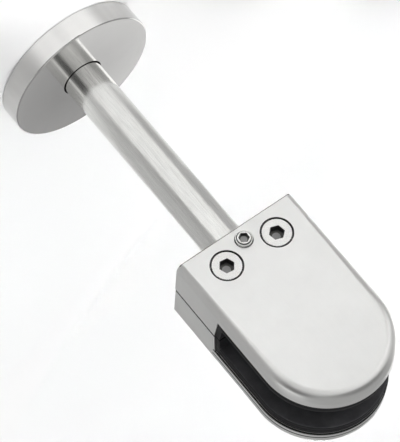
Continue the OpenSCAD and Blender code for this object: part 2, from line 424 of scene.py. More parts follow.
@dataclass(frozen=True)
class PaintedRimLightSteel(SatinSteel):
    """Satin steel with painted shade on its face, darker beside the stem and brighter outwards, and
    painted reflections across its outer rim: bands and brighter highlights.
    """

    rim_start: float = 0.0231
    painted_reflection_bands: float = 0.09  # how much lighter and darker the painted reflection bands are
    band_scale: float = 5200.0
    band_shift: float = 4.0
    flash_count: float = 3.0  # painted highlights round the rim
    flash_bearing: float = -10.6  # degrees from -Y towards -X
    flash_wave: tuple[float, float] = (-0.1, 0.6)  # where on its wave a flash starts and is full
    flash: tuple[float, float] = (0.87, 1.40)  # factors between the painted highlights and in them
    face_start: float = 9.0 * MM
    tones: tuple[float, float] = (0.96, 1.13)  # factors of painted shade on the face, beside the stem and outside

    def shade(self, sheet: NodeSheet, lines: bpy.types.NodeSocket) -> bpy.types.NodeSocket:
        """Adds the painted reflections of the rim, bands and highlights, and the painted shade of
        the face to the lines and clouds.

        Args:
            sheet: The material's node tree.
            lines: The pattern of the grain.

        Returns:
            The factor on the tint.
        """
        plain = SatinSteel.shade(self, sheet, lines)
        # Painted reflections: bands across the rim.
        waves = sheet.noise(Grain.ACROSS_RIM.value, self.band_scale, 2.0, self.band_shift)
        painted_reflection_bands = sheet.spread(waves, 1.0 - self.painted_reflection_bands, 1.0 + self.painted_reflection_bands)
        rim = sheet.math("MULTIPLY", painted_reflection_bands, self.painted_rim_highlights(sheet))
        inside = sheet.within(Hollow((0.0, 0.0, 0.0), self.rim_start, ROUND_AXIS))
        tone = sheet.between(inside, rim, self.painted_face_shade(sheet))
        return sheet.math("MULTIPLY", plain, tone)

    def painted_face_shade(self, sheet: NodeSheet) -> bpy.types.NodeSocket:
        """Adds the painted shade of the face, which gets brighter away from the stem.

        Args:
            sheet: The material's node tree.

        Returns:
            The factor on the tint.
        """
        flat = sheet.vector("MULTIPLY", sheet.place, ROUND_AXIS).outputs["Vector"]
        away = sheet.vector("LENGTH", flat).outputs["Value"]
        return sheet.span(away, (self.face_start, self.rim_start), self.tones)

    def painted_rim_highlights(self, sheet: NodeSheet) -> bpy.types.NodeSocket:
        """Adds the painted highlights of the rim, brighter stretches round it.

        Args:
            sheet: The material's node tree.

        Returns:
            The factor on the tint.
        """
        bearing = sheet.bearing(sheet.place)
        offset = sheet.math("SUBTRACT", bearing, math.radians(self.flash_bearing))
        wave = sheet.math("COSINE", sheet.math("MULTIPLY", offset, self.flash_count), 0.0)
        return sheet.span(wave, self.flash_wave, self.flash, smooth=True)


@dataclass(frozen=True)
class MouldedRubber:
    """Black moulded rubber, with a faint bloom on the faces that hold the glass and near-black
    painted shade everywhere else, beads and seal ring included.
    """

    name: str
    faces: tuple[Hollow, ...]  # thin layers round the faces that hold the glass
    tint: tuple[float, float, float] = (0.034, 0.034, 0.037)
    bloom: tuple[float, float, float] = (0.066, 0.066, 0.070)
    painted_shade_tone: tuple[float, float, float] = (0.009, 0.009, 0.010)  # painted shade, off those faces
    roughness: float = 0.6
    unevenness: float = 0.07
    patch_scale: float = 180.0
    grit_scale: float = 4200.0
    grit_depth: float = 0.000008

    def material(self) -> bpy.types.Material:
        """Builds the finish's material.

        Returns:
            The material.
        """
        sheet = NodeSheet(self.name)
        shader = sheet.shader
        shader.inputs["Specular IOR Level"].default_value = 0.2
        patches = sheet.noise(Grain.NONE.value, self.patch_scale, 4.0)
        grit = sheet.noise(Grain.NONE.value, self.grit_scale, 2.0)
        colour = sheet.blend(sheet.spread(patches, 0.0, 1.0), self.tint, self.bloom)
        # Off the faces that hold the glass the rubber is painted near-black: painted shade.
        colour = sheet.blend(sheet.within_any(self.faces), self.painted_shade_tone, colour)
        sheet.join(colour, shader.inputs["Base Color"])
        low, high = self.roughness - self.unevenness, self.roughness + self.unevenness
        rough = sheet.spread(patches, low, high)
        sheet.join(rough, shader.inputs["Roughness"])
        sheet.relief(grit, self.grit_depth)
        return sheet.material


@dataclass(frozen=True)
class FloorPaint:
    """Plain pale paint of the studio floor."""

    name: str = "floor_paint"
    tint: tuple[float, float, float] = (0.93, 0.93, 0.93)
    darkest: float = 0.99
    patch_scale: float = 3.0

    def material(self) -> bpy.types.Material:
        """Builds the floor's material.

        Returns:
            The material.
        """
        sheet = NodeSheet(self.name)
        sheet.shader.inputs["Roughness"].default_value = 0.9
        patches = sheet.noise(Grain.NONE.value, self.patch_scale, 2.0)
        low = tuple(c * self.darkest for c in self.tint)
        colour = sheet.blend(sheet.spread(patches, 0.0, 1.0), low, self.tint)
        sheet.join(colour, sheet.shader.inputs["Base Color"])
        return sheet.material


def bore_of(node: str, gap: float, depth: float) -> Hollow:
    """Finds the mouth of the bore round a screw, which the jaw's finish paints near-black as
    painted shade.

    Args:
        node: The screw's node.
        gap: How far the painted shade reaches past its widest part.
        depth: Depth of the bore's wide part.

    Returns:
        The bore as a hollow.
    """
    low, high = (Vector(corner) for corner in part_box(node))
    middle = (low + high) / 2
    return Hollow(
        (middle.x, low.y, middle.z),
        (high.x - low.x) / 2 + gap,
        half=(ENDLESS, depth, ENDLESS),
    )


def parting_edges(reach: float, depth: float) -> list[Hollow]:
    """Finds the edges of the gap between the jaws, along both sides and the flat end, where the
    jaw's finish paints a line of painted shade.

    Args:
        reach: Half of the width of the painted shade line.
        depth: How far the painted shade goes into the gap.

    Returns:
        The three edges as hollows.
    """
    low, high = (Vector(corner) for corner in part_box("front_jaw"))
    sides = [
        Hollow((x, 0.0, 0.0), reach, ACROSS_Y, half=(depth, ENDLESS, ENDLESS))
        for x in (low.x, high.x)
    ]
    end = Hollow((0.0, 0.0, low.z), reach, ACROSS_Y, half=(ENDLESS, ENDLESS, depth))
    return [*sides, end]


def line_beside(node: str, gap: float, reach: float, past_tip: float = 2.0 * MM) -> Hollow:
    """Finds a fine line of painted shade on the rear jaw, beside the slot of its gasket.

    Args:
        node: The gasket's node, on the +Y side.
        gap: How far the line lies from the slot.
        reach: Half of the line's width.
        past_tip: How far the line goes on past the gasket's tip.

    Returns:
        The line as a hollow.
    """
    low, high = (Vector(corner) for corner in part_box(node))
    top = high.z + past_tip
    centre = (0.0, REAR_WALL + gap, (low.z + top) / 2)
    return Hollow(centre, reach, ACROSS_Y, half=(ENDLESS, ENDLESS, (top - low.z) / 2))


def line_at_end(gap: float, reach: float, depth: float = 1.2 * MM) -> Hollow:
    """Finds the fine line of painted dark reflection along the flat end of the front jaw's face,
    where its edge's chamfer is.

    Args:
        gap: How far the line lies from the end.
        reach: Half of the line's width.
        depth: How far it goes back from the face.

    Returns:
        The line as a hollow.
    """
    low = Vector(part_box("front_jaw")[0])
    centre = (0.0, low.y, low.z + gap)
    return Hollow(centre, reach, ACROSS_Z, half=(ENDLESS, depth, ENDLESS))


class FinishSet:
    """Every finish of the clamp, each made once."""

    def __init__(self) -> None:
        """Makes the materials."""
        # Painted shade on the jaws: dark rings round the screw heads, dark lines along the gap
        # between the jaws, and fine dark lines at the front jaw's flat end and beside the rear
        # slot.
        painted_shade_marks = (
            bore_of("clamp_screw_left", 0.46 * MM, 5.0 * MM),
            bore_of("clamp_screw_right", 0.46 * MM, 5.0 * MM),
            bore_of("grub_screw", 0.18 * MM, 4.0 * MM),
            *parting_edges(0.62 * MM, 0.3 * MM),
            line_at_end(0.24 * MM, 0.12 * MM),
            line_beside("rear_gasket", 0.45 * MM, 0.42 * MM),
            line_beside("rear_gasket", 2.3 * MM, 0.3 * MM),
        )
        self.jaw = SatinSteel(
            "jaw_satin", (0.735, 0.735, 0.72), 0.30, Grain.ALONG_Z, grain_depth=0.0000003,
            streaks=0.012, lines=0.008, clouds=0.03, hollows=painted_shade_marks,
        ).material()
        self.stem = SatinSteel(
            "stem_satin", (0.74, 0.74, 0.72), 0.16, Grain.SHORT_ALONG_Z,
            lines=0.11, line_scale=3000.0,
        ).material()
        self.rosette = PaintedRimLightSteel(
            "rosette_satin", (0.61, 0.605, 0.595), 0.12, Grain.NONE
        ).material()
        self.plate = SatinSteel("plate_turned", (0.6, 0.6, 0.59), 0.33, Grain.ROUND_Z).material()
        self.screw = SatinSteel("screw_plain", (0.72, 0.72, 0.70), 0.26, Grain.NONE).material()
        # Dark painted shade for socket walls, the sides and knurls of cap screw heads, and a ring
        # on the grub screw.
        self.socket = SatinSteel("socket_painted_shade", (0.10, 0.10, 0.097), 0.42, Grain.NONE).material()
        # Lighter painted shade for the floors of sockets.
        self.painted_floor_shade = SatinSteel("socket_floor_painted_shade", (0.28, 0.28, 0.275), 0.40, Grain.NONE).material()
        holding = tuple(
            Hollow((0.0, y, 0.0), 0.12 * MM, ACROSS_Y)
            for y in (FRONT_WALL + PAD, REAR_WALL - PAD)
        )
        self.rubber = MouldedRubber("gasket_rubber", holding).material()


# ---------------------------------------------------------------- pieces


def dress(node: str, finish: bpy.types.Material) -> None:
    """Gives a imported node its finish.

    Args:
        node: The node's name.
        finish: The material for all its slots.
    """
    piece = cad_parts[node]
    if not piece.material_slots:
        piece.data.materials.append(finish)
    for slot in piece.material_slots:
        slot.material = finish
    LOG.info("%s dressed in %s", node, finish.name)


# ---------------------------------------------------------------- growing parts


class Growth(NodeTree):
    """A Geometry Nodes tree that makes a mesh from named sizes."""

    def __init__(self, name: str, sizes: dict[str, str]) -> None:
        """Starts a tree.

        Args:
            name: The tree's name.
            sizes: The socket type of each named input.
        """
        super().__init__(bpy.data.node_groups.new(name, "GeometryNodeTree"))
        face = self.tree.interface
        self.sockets = {
            key: face.new_socket(name=key, in_out="INPUT", socket_type=kind).identifier
            for key, kind in (sizes | {"Finish": "NodeSocketMaterial"}).items()
        }
        face.new_socket(name="Mesh", in_out="OUTPUT", socket_type="NodeSocketGeometry")
        self.given = self.add("NodeGroupInput")
        self.result = self.add("NodeGroupOutput")

    def take(self, key: str, target: bpy.types.NodeSocket) -> None:
        """Joins a named input to a socket."""
        self.join(self.given.outputs[key], target)

    def close(self, made: bpy.types.NodeSocket) -> None:
        """Ends the tree with real meshes in the given finish."""
        real = self.add("GeometryNodeRealizeInstances")
        dressed = self.add("GeometryNodeSetMaterial")
        self.join(made, real.inputs["Geometry"])
        self.join(real.outputs["Geometry"], dressed.inputs["Geometry"])
        self.take("Finish", dressed.inputs["Material"])
        self.join(dressed.outputs["Geometry"], self.result.inputs[0])

    def grow(
        self, values: dict[str, object], start: bpy.types.Mesh | None = None
    ) -> bpy.types.Mesh:
        """Makes a plain mesh with the tree.

        Args:
            values: The value of each named input.
            start: The mesh that the tree starts from, if it takes one.

        Returns:
            The mesh.
        """
        seed = bpy.data.objects.new("growing", start or bpy.data.meshes.new("growing"))
        bpy.context.scene.collection.objects.link(seed)
        modifier = seed.modifiers.new(self.tree.name, "NODES")
        modifier.node_group = self.tree
        for key, value in values.items():
            modifier[self.sockets[key]] = value
        graph = bpy.context.evaluated_depsgraph_get()
        mesh = bpy.data.meshes.new_from_object(seed.evaluated_get(graph))
        seed.modifiers.remove(modifier)
        bpy.data.objects.remove(seed)
        return mesh


def thread_growth() -> Growth:
    """Builds the tree of a screw thread: a triangular ridge that winds up round +Z.

    Returns:
        The tree.
    """
    tree = Growth(
        "screw_thread",
        {
            "Ridge Radius": "NodeSocketFloat",
            "Ridge Size": "NodeSocketFloat",
            "Turns": "NodeSocketFloat",
            "Height": "NodeSocketFloat",
        },
    )
    helix = tree.add("GeometryNodeCurveSpiral")
    helix.inputs["Resolution"].default_value = THREAD_STEPS
    tree.take("Turns", helix.inputs["Rotations"])
    tree.take("Ridge Radius", helix.inputs["Start Radius"])
    tree.take("Ridge Radius", helix.inputs["End Radius"])
    tree.take("Height", helix.inputs["Height"])
    level = tree.add("GeometryNodeSetCurveNormal", mode="Z_UP")
    section = tree.add("GeometryNodeCurvePrimitiveCircle")
    section.inputs["Resolution"].default_value = 3
    tree.take("Ridge Size", section.inputs["Radius"])
    turned = tree.add("GeometryNodeTransform")
    turned.inputs["Rotation"].default_value = (0.0, 0.0, THREAD_SECTION_TURN)
    sweep = tree.add("GeometryNodeCurveToMesh")
    sweep.inputs["Fill Caps"].default_value = True
    tree.join(helix.outputs["Curve"], level.inputs["Curve"])
    tree.join(level.outputs["Curve"], sweep.inputs["Curve"])
    tree.join(section.outputs["Curve"], turned.inputs["Geometry"])
    tree.join(turned.outputs["Geometry"], sweep.inputs["Profile Curve"])
    tree.close(sweep.outputs["Mesh"])
    return tree


def knurl_growth() -> Growth:
    """Builds the tree of a straight knurl: upright ridges in a ring round +Z.

    Returns:
        The tree.
    """
    tree = Growth(
        "head_knurl",
        {
            "Ring Radius": "NodeSocketFloat",
            "Ridge Count": "NodeSocketInt",
            "Ridge Size": "NodeSocketFloat",
            "Height": "NodeSocketFloat",
        },
    )
    ring = tree.add("GeometryNodeMeshCircle")
    tree.take("Ridge Count", ring.inputs["Vertices"])
    tree.take("Ring Radius", ring.inputs["Radius"])
    ridge = tree.add("GeometryNodeMeshCylinder")
    ridge.inputs["Vertices"].default_value = 4
    tree.take("Ridge Size", ridge.inputs["Radius"])
    tree.take("Height", ridge.inputs["Depth"])
    where = tree.add("GeometryNodeInputPosition")
    facing = tree.add("FunctionNodeAlignRotationToVector", axis="X")
    tree.join(where.outputs["Position"], facing.inputs["Vector"])
    stand = tree.add("GeometryNodeInstanceOnPoints")
    tree.join(ring.outputs["Mesh"], stand.inputs["Points"])
    tree.join(ridge.outputs["Mesh"], stand.inputs["Instance"])
    tree.join(facing.outputs["Rotation"], stand.inputs["Rotation"])
    tree.close(stand.outputs["Instances"])
    return tree


def bead_growth() -> Growth:
    """Builds the tree of a moulded bead: a round rib that follows a line of edges.

    Returns:
        The tree.
    """
    tree = Growth("moulded_bead", {"Line": "NodeSocketGeometry", "Bead Radius": "NodeSocketFloat"})
    line = tree.add("GeometryNodeMeshToCurve")
    section = tree.add("GeometryNodeCurvePrimitiveCircle")
    section.inputs["Resolution"].default_value = 10
    sweep = tree.add("GeometryNodeCurveToMesh")
    sweep.inputs["Fill Caps"].default_value = True
    tree.take("Line", line.inputs["Mesh"])
    tree.take("Bead Radius", section.inputs["Radius"])
    tree.join(line.outputs["Curve"], sweep.inputs["Curve"])
    tree.join(section.outputs["Curve"], sweep.inputs["Profile Curve"])
    tree.close(sweep.outputs["Mesh"])
    return tree


@dataclass(frozen=True)
class Ring:
    """One ring of a turned shape; the band above it takes the finish in the ring's slot."""

    z: float
    size: float
    hexagonal: bool = False
    slot: int = 0

    def radius(self, angle: float) -> float:
        """Gives the ring's radius at an angle; a hexagon's size is half its width."""
        if self.hexagonal:
            return self.size / math.cos(angle % (math.pi / 3) - math.pi / 6)
        return self.size


def turn_rings(shape: bmesh.types.BMesh, rings: list[Ring], segments: int = 96) -> None:
    """Adds a closed shape through rings round +Z, from one pole to the other.

    Args:
        shape: The mesh to add to.
        rings: The rings in order; the first and the last have size 0.
        segments: Points in a ring.
    """
    angles = [2 * math.pi * i / segments for i in range(segments)]
    poles = [shape.verts.new((0.0, 0.0, ring.z)) for ring in (rings[0], rings[-1])]
    loops = [
        [
            shape.verts.new((ring.radius(a) * math.cos(a), ring.radius(a) * math.sin(a), ring.z))
            for a in angles
        ]
        for ring in rings[1:-1]
    ]
    faces = []
    for below, above, ring in zip(loops, loops[1:], rings[1:-2]):
        for i in range(segments):
            k = (i + 1) % segments
            faces.append(shape.faces.new((below[i], below[k], above[k], above[i])))
            faces[-1].material_index = ring.slot
    for i in range(segments):
        k = (i + 1) % segments
        faces.append(shape.faces.new((poles[0], loops[0][k], loops[0][i])))
        faces[-1].material_index = rings[0].slot
        faces.append(shape.faces.new((poles[1], loops[-1][i], loops[-1][k])))
        faces[-1].material_index = rings[-2].slot
    bmesh.ops.recalc_face_normals(shape, faces=faces)


def finish_piece(
    name: str, shape: bmesh.types.BMesh, finishes: list[bpy.types.Material], crease: float = 33.0
) -> bpy.types.Object:
    """Turns a shape into a smooth piece with crisp edges.

    Args:
        name: The piece's name.
        shape: The shape, already in place; it is freed.
        finishes: The materials of its slots.
        crease: Angle in degrees above which an edge stays crisp.

    Returns:
        The piece, linked to the scene.
    """
    for face in shape.faces:
        face.smooth = True
    for edge in shape.edges:
        edge.smooth = len(edge.link_faces) == 2 and edge.calc_face_angle(0.0) < math.radians(crease)
    mesh = bpy.data.meshes.new(name)
    shape.to_mesh(mesh)
    shape.free()
    for finish in finishes:
        mesh.materials.append(finish)
    piece = bpy.data.objects.new(name, mesh)
    bpy.context.scene.collection.objects.link(piece)
    return piece


# ---------------------------------------------------------------- sub-assemblies


@dataclass
class Screw:
    """A screw that stands for its plain solid: turned body, wound thread and a socket in painted
    shade.
    """

    name: str
    node: str
    body: str
    thread_d: float
    pitch: float
    socket: float
    turn: float
    head_h: float = 0.0
    upright: bool = False
    socket_break: float = 0.04 * MM  # chamfer of the socket's mouth
    floor_share: float = 0.62  # size of the floor in lighter painted shade, for a socket of size 1

    def sizes(self) -> tuple[float, float]:
        """Reads the solid's greatest radius and its length."""
        low, high = (Vector(corner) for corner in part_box(self.node))
        spread = high - low
        return spread.x / 2, spread.z if self.upright else spread.y

    def placing(self) -> Matrix:
        """Gives the matrix from the screw's own frame, tip at 0 and head up +Z, to its place."""
        low, high = (Vector(corner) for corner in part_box(self.node))
        middle = (low + high) / 2
        turned = Matrix.Rotation(math.radians(self.turn), 4, "Z")
        if self.upright:
            flip = Matrix.Rotation(math.pi, 4, "X")
            return Matrix.Translation((middle.x, middle.y, high.z)) @ flip @ turned
        tilt = Matrix.Rotation(math.pi / 2, 4, "X")
        return Matrix.Translation((middle.x, high.y, middle.z)) @ tilt @ turned

    def socket_rings(self, top: float, depth: float) -> list[Ring]:
        """Lists the rings from the socket's mouth down to its pole; the walls and the floor's rim
        take the dark painted shade of slot 1, the floor's middle the lighter painted shade of slot
        2.

        Args:
            top: Height of the face that the socket opens in.
            depth: Depth of its flat walls.

        Returns:
            The rings.
        """
        half = self.socket / 2
        return [
            Ring(top, half + self.socket_break, True),
            Ring(top - self.socket_break, half, True, slot=1),
            Ring(top - depth, half, True, slot=1),
            Ring(top - depth, half * self.floor_share, slot=2),
            Ring(top - depth - half * 0.4, 0.0),
        ]

    def core_rings(self, r: float, length: float) -> list[Ring]:
        """Lists the rings of the whole screw without its thread."""
        raise NotImplementedError

    def thread_span(self, length: float) -> tuple[float, float]:
        """Gives the heights between which the thread winds."""
        raise NotImplementedError

    def build(self, finishes: FinishSet, thread: Growth, knurl: Growth) -> None:
        """Builds the screw and puts it in place of its solid.

        Args:
            finishes: The clamp's finishes.
            thread: The thread's tree.
            knurl: The knurl's tree.
        """
        r, length = self.sizes()
        shape = bmesh.new()
        turn_rings(shape, self.core_rings(r, length))
        low, high = self.thread_span(length)
        size = THREAD_RIDGE * self.pitch
        ridge = thread.grow(
            {
                "Ridge Radius": self.thread_d / 2 - size,
                "Ridge Size": size,
                "Turns": (high - low) / self.pitch,
                "Height": high - low,
                "Finish": finishes.screw,
            }
        )
        ridge.transform(Matrix.Translation((0.0, 0.0, low)))
        shape.from_mesh(ridge)
        self.add_knurl(shape, finishes, knurl, r, length)
        shape.transform(self.placing())
        # Slot 1 takes the dark painted shade, slot 2 the lighter painted shade.
        piece = finish_piece(self.name, shape, [finishes.screw, finishes.socket, finishes.painted_floor_shade])
        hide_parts(self.node)
        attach(piece, self.body)
        LOG.info("%s made in place of %s", self.name, self.node)

    def add_knurl(
        self,
        shape: bmesh.types.BMesh,
        finishes: FinishSet,
        knurl: Growth,
        r: float,
        length: float,
    ) -> None:
        """Adds a knurl to the head; a plain screw has none."""


@dataclass
class CapScrew(Screw):
    """A socket head cap screw with a knurled head."""

    ridges: int = 36
    ridge_size: float = 0.16 * MM
    knurl_foot: float = 0.3 * MM  # from the head's seat up to the knurl
    knurl_drop: float = 0.45 * MM  # from the head's face down to the knurl
    edge_break: float = 0.12 * MM  # chamfer round the head's face

    def core_rings(self, r: float, length: float) -> list[Ring]:
        """Lists the rings from the shank's tip to the socket's floor."""
        seat = length - self.head_h
        core = self.thread_d / 2 - THREAD_DEPTH * self.pitch
        neck = self.thread_d / 2
        side = r - 0.1 * MM
        return [
            Ring(0.0, 0.0),
            Ring(0.0, core - TIP_BREAK * self.pitch),
            Ring(TIP_BREAK * self.pitch, core),
            Ring(seat - 4.0 * self.pitch, core),
            Ring(seat - 3.6 * self.pitch, neck),
            Ring(seat, neck),
            Ring(seat, r - 0.3 * MM),
            # The head's side is in dark painted shade, for the shade in the bore round it.
            Ring(seat + 0.15 * MM, side, slot=1),
            Ring(length - self.knurl_drop, side, slot=1),
            Ring(length - 0.35 * MM, r, slot=1),
            Ring(length - self.edge_break, r),
            Ring(length, r - self.edge_break),
            *self.socket_rings(length, self.head_h / 2),
        ]

    def thread_span(self, length: float) -> tuple[float, float]:
        """Gives the heights between which the thread winds."""
        return 0.5 * self.pitch, length - self.head_h - 3.8 * self.pitch

    def add_knurl(
        self,
        shape: bmesh.types.BMesh,
        finishes: FinishSet,
        knurl: Growth,
        r: float,
        length: float,
    ) -> None:
        """Adds the knurl round the head.

        Args:
            shape: The screw's mesh.
            finishes: The clamp's finishes.
            knurl: The knurl's tree.
            r: Radius of the head.
            length: Length of the whole screw.
        """
        height = self.head_h - self.knurl_foot - self.knurl_drop
        # The knurl's ridges are in the dark painted shade too.
        ring = knurl.grow(
            {
                "Ring Radius": r - self.ridge_size,
                "Ridge Count": self.ridges,
                "Ridge Size": self.ridge_size,
                "Height": height,
                "Finish": finishes.socket,
            }
        )
        ring.transform(Matrix.Translation((0.0, 0.0, length - self.knurl_drop - height / 2)))
        shape.from_mesh(ring)


@dataclass
class GrubScrew(Screw):
    """A headless screw with a cone point and a raised ring round its socket."""

    collar: float = 0.85 * MM  # from the ring's top down to the foot of the plain collar
    drop: float = 0.35 * MM  # from the ring's top down to the step round it
    point: float = 0.3 * MM  # radius of the cone's flat tip

    def core_rings(self, r: float, length: float) -> list[Ring]:
        """Lists the rings from the cone point to the socket's floor."""
        core = r - 0.55 * self.pitch
        return [
            Ring(0.0, 0.0),
            Ring(0.0, self.point),
            Ring(core - self.point, core),
            Ring(length - self.collar - 0.2 * MM, core),
            Ring(length - self.collar, r),
            Ring(length - self.drop, r),
            # A band of dark painted shade on the slope below the ring's top.
            Ring(length - self.drop + 0.02 * MM, r - 0.24 * MM, slot=1),
            Ring(length - 0.04 * MM, r - 0.5 * MM),
            Ring(length, r - 0.56 * MM),
            *self.socket_rings(length, 1.1 * MM),
        ]

    def socket_rings(self, top: float, depth: float) -> list[Ring]:
        """Lists the rings of a socket whose broken edge and walls are in dark painted shade and
        whose floor is in lighter painted shade.
        """
        mouth, *rest = super().socket_rings(top, depth)
        return [Ring(mouth.z, mouth.size, True, slot=1), *rest]

    def thread_span(self, length: float) -> tuple[float, float]:
        """Gives the heights between which the thread winds."""
        return self.thread_d / 2 - 0.5 * MM, length - self.collar - 0.25 * MM


@dataclass
class CountersunkScrew(Screw):
    """A screw with a flat countersunk head and a socket."""

    edge_break: float = 0.15 * MM  # height and depth of the cut round the head's face

    def core_rings(self, r: float, length: float) -> list[Ring]:
        """Lists the rings from the shank's tip to the socket's floor."""
        core = self.thread_d / 2 - THREAD_DEPTH * self.pitch
        neck = self.thread_d / 2 - 0.05 * MM
        cone = r - self.thread_d / 2
        face = r - self.edge_break
        return [
            Ring(0.0, 0.0),
            Ring(0.0, core - TIP_BREAK * self.pitch),
            Ring(TIP_BREAK * self.pitch, core),
            Ring(length - cone - 1.2 * self.pitch, core),
            Ring(length - cone - 0.8 * self.pitch, neck),
            Ring(length - cone, neck),
            Ring(length - self.edge_break, face),
            Ring(length, face),
            *self.socket_rings(length, self.head_h * 0.8),
        ]

    def thread_span(self, length: float) -> tuple[float, float]:
        """Gives the heights between which the thread winds."""
        return 0.5 * self.pitch, length - self.head_h - self.pitch


@dataclass
class WallFlange:
    """The base plate on the wall and the screw that holds the stem on it."""

    def build(self, finishes: FinishSet, thread: Growth, knurl: Growth) -> None:
        """Dresses the plate and builds the stem screw."""
        dress("base_plate", finishes.plate)
        screw = CountersunkScrew(
            "stem_screw_wound", "stem_screw", "base", 5.9 * MM, 1.0 * MM, 4.0 * MM, 0.0,
            head_h=2.75 * MM, upright=True,
        )
        screw.build(finishes, thread, knurl)


@dataclass
class StemAndRosette:
    """The stem with the loose cover rosette and its seal ring."""

    def build(self, finishes: FinishSet) -> None:
        """Dresses the stem and the rosette."""
        dress("stem", finishes.stem)
        dress("cover_rosette", finishes.rosette)
        dress("seal_ring", finishes.rubber)


@dataclass
class GasketBead:
    """The thin moulded bead round the outer wall of a gasket's pad."""

    name: str
    node: str
    body: str
    wall: float  # Y of the slot's wall that the pad lies on
    depth: float = 0.5
    radius: float = 0.22 * MM
    proud: float = 0.12 * MM
    arc_steps: int = 48
    foot: float = 2.2 * MM  # from the gasket's low end up to the bead

    def line(self) -> bpy.types.Mesh:
        """Draws the D line that the bead follows, up one side, round the tip and down."""
        low, high = (Vector(corner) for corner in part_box(self.node))
        half = (high.x - low.x) / 2 - self.radius + self.proud
        centre = high.z - (high.x - low.x) / 2
        y = self.wall - math.copysign(PAD * self.depth, self.wall)
        start = low.z + self.foot
        points = [Vector((half, y, start))]
        for i in range(self.arc_steps + 1):
            a = math.pi * i / self.arc_steps
            points.append(Vector((half * math.cos(a), y, centre + half * math.sin(a))))
        points.append(Vector((-half, y, start)))
        mesh = bpy.data.meshes.new(self.name + "_line")
        mesh.from_pydata(points, [(i, i + 1) for i in range(len(points) - 1)], [])
        return mesh

    def build(self, finishes: FinishSet, bead: Growth) -> None:
        """Builds the bead on its gasket."""
        rib = bead.grow({"Bead Radius": self.radius, "Finish": finishes.rubber}, self.line())
        shape = bmesh.new()
        shape.from_mesh(rib)
        bmesh.ops.recalc_face_normals(shape, faces=shape.faces)
        piece = finish_piece(self.name, shape, [finishes.rubber], crease=50.0)
        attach(piece, self.body)
        LOG.info("%s made on %s", self.name, self.node)


@dataclass
class ClampHead:
    """The two jaws with their gaskets and screws."""

    screw_turns: tuple[float, float, float] = (41.0, 52.0, 28.0)

    def build(self, finishes: FinishSet, thread: Growth, knurl: Growth) -> None:
        """Dresses the jaws and gaskets and builds the beads and screws."""
        for jaw in ("front_jaw", "rear_jaw"):
            dress(jaw, finishes.jaw)
        for pad in ("front_gasket", "rear_gasket"):
            dress(pad, finishes.rubber)
        bead = bead_growth()
        GasketBead("front_bead", "front_gasket", "front", FRONT_WALL).build(finishes, bead)
        GasketBead("rear_bead", "rear_gasket", "head", REAR_WALL).build(finishes, bead)
        left, right, grub = self.screw_turns
        m5 = {"thread_d": 4.9 * MM, "pitch": 0.8 * MM}
        screws = (
            CapScrew("clamp_screw_left_wound", "clamp_screw_left", "left_screw",
                     socket=4.0 * MM, turn=left, head_h=5.0 * MM, **m5),
            CapScrew("clamp_screw_right_wound", "clamp_screw_right", "right_screw",
                     socket=4.0 * MM, turn=right, head_h=5.0 * MM, **m5),
            GrubScrew("grub_screw_wound", "grub_screw", "lock_screw",
                      socket=2.5 * MM, turn=grub, socket_break=0.15 * MM, floor_share=0.8,
                      **m5),
        )
        for screw in screws:
            screw.build(finishes, thread, knurl)


# ---------------------------------------------------------------- studio


def hang_lamp(
    name: str,
    place: Vector,
    size: tuple[float, float],
    radiance: float,
    glints: bool,
) -> bpy.types.Object:
    """Hangs a flat lamp that the camera doesn't see and that shines straight down.

    Args:
        name: The lamp's name.
        place: Where it hangs.
        size: Its width and height in metres.
        radiance: Its brightness, whatever its size.
        glints: Whether it shows in reflections.

    Returns:
        The lamp, linked to the scene.
    """
    data = bpy.data.lights.new(name, "AREA")
    data.shape = "RECTANGLE"
    data.size, data.size_y = size
    data.energy = radiance * math.pi * size[0] * size[1]
    lamp = bpy.data.objects.new(name, data)
    lamp.location = place
    lamp.visible_camera = False
    lamp.visible_glossy = glints
    bpy.context.scene.collection.objects.link(lamp)
    return lamp


@dataclass(frozen=True)
class Softbox:
    """A flat soft light that shines at a point on the clamp."""

    name: str
    place: tuple[float, float, float]
    width: float
    height: float
    radiance: float
    aim: tuple[float, float, float] = (0.0, 0.0, 0.08)
    glints: bool = True

    def build(self) -> None:
        """Adds the light to the scene."""
        place = Vector(self.place)
        size = (self.width, self.height)
        light = hang_lamp(self.name, place, size, self.radiance, self.glints)
        direction = Vector(self.aim) - place
        light.rotation_euler = direction.to_track_quat("-Z", "Y").to_euler()


@dataclass(frozen=True)
class FloorWash:
    """A narrow beam from above that brightens a rectangle of the floor."""

    name: str
    centre: tuple[float, float]
    size: tuple[float, float]
    turn: float  # degrees round Z
    radiance: float
    spread: float  # degrees of the beam
    height: float = 0.9

    def build(self) -> None:
        """Adds the lamp to the scene."""
        place = Vector((*self.centre, self.height))
        lamp = hang_lamp(self.name, place, self.size, self.radiance, glints=False)
        lamp.data.spread = math.radians(self.spread)
        lamp.rotation_euler = (0.0, 0.0, math.radians(self.turn))


